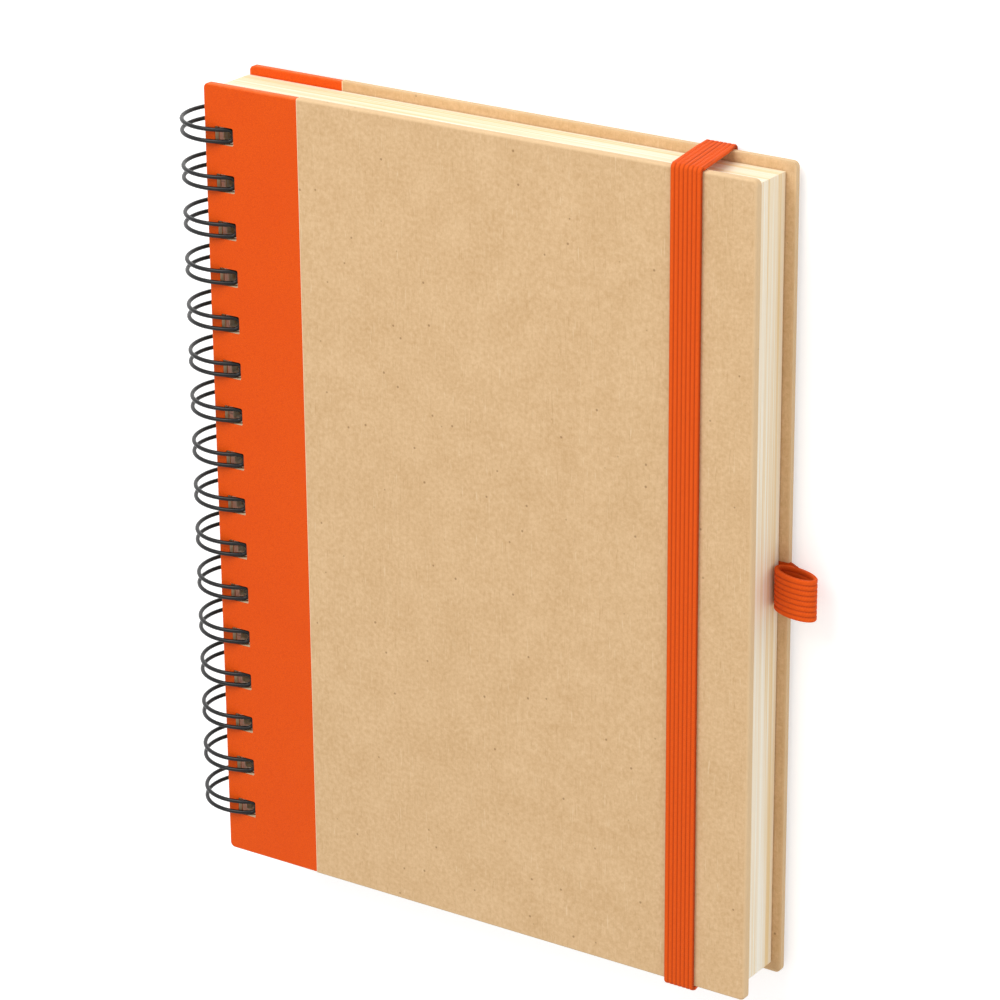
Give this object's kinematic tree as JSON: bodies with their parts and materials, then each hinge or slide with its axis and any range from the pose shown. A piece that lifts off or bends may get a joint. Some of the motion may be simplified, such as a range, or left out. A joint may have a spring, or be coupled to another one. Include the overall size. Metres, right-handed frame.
{
  "type": "spiral notebook",
  "caption": "Wire-bound hardcover notebook with kraft paper covers, an orange cloth spine strip, an elastic closing band and an elastic pen loop.",
  "frame": {"origin": "centre of the bottom of the bounding box, on the surface the wire loops touch with the notebook lying on its back cover", "axes": "+X from the spine to the fore edge, +Y along the spine to the head of the page, +Z out of the front cover"},
  "size_m": [0.1882, 0.2196, 0.0256],
  "materials": {
    "kraft_paper": "matte brown kraft covering paper",
    "spine_cloth": "smooth orange book cloth",
    "board": "grey binder's board",
    "liner_paper": "plain kraft paper",
    "pages": "uncoated cream paper",
    "wire": "satin black coated steel wire",
    "elastic": "ribbed woven orange elastic"
  },
  "bodies": {
    "back": {"back_board": "board", "back_cover_paper": "kraft_paper", "back_spine_cloth": "spine_cloth", "back_liner": "liner_paper", "elastic_band": "elastic", "pen_loop": "elastic"},
    "pages": {"page_block": "pages", "wire_binding": "wire"},
    "front": {"front_board": "board", "front_cover_paper": "kraft_paper", "front_spine_cloth": "spine_cloth", "front_liner": "liner_paper"}
  },
  "joints": [
    {"name": "pages_turn", "type": "hinge", "parent": "back", "child": "pages", "pos_m": [-0.08135, 0, 0.0128], "axis": [0, -1, 0], "range_deg": [0, 180], "deforming": ["elastic_band"]},
    {"name": "front_cover_open", "type": "hinge", "parent": "pages", "child": "front", "pos_m": [-0.08135, 0, 0.0128], "axis": [0, -1, 0], "range_deg": [0, 180], "deforming": ["elastic_band"]}
  ]
}
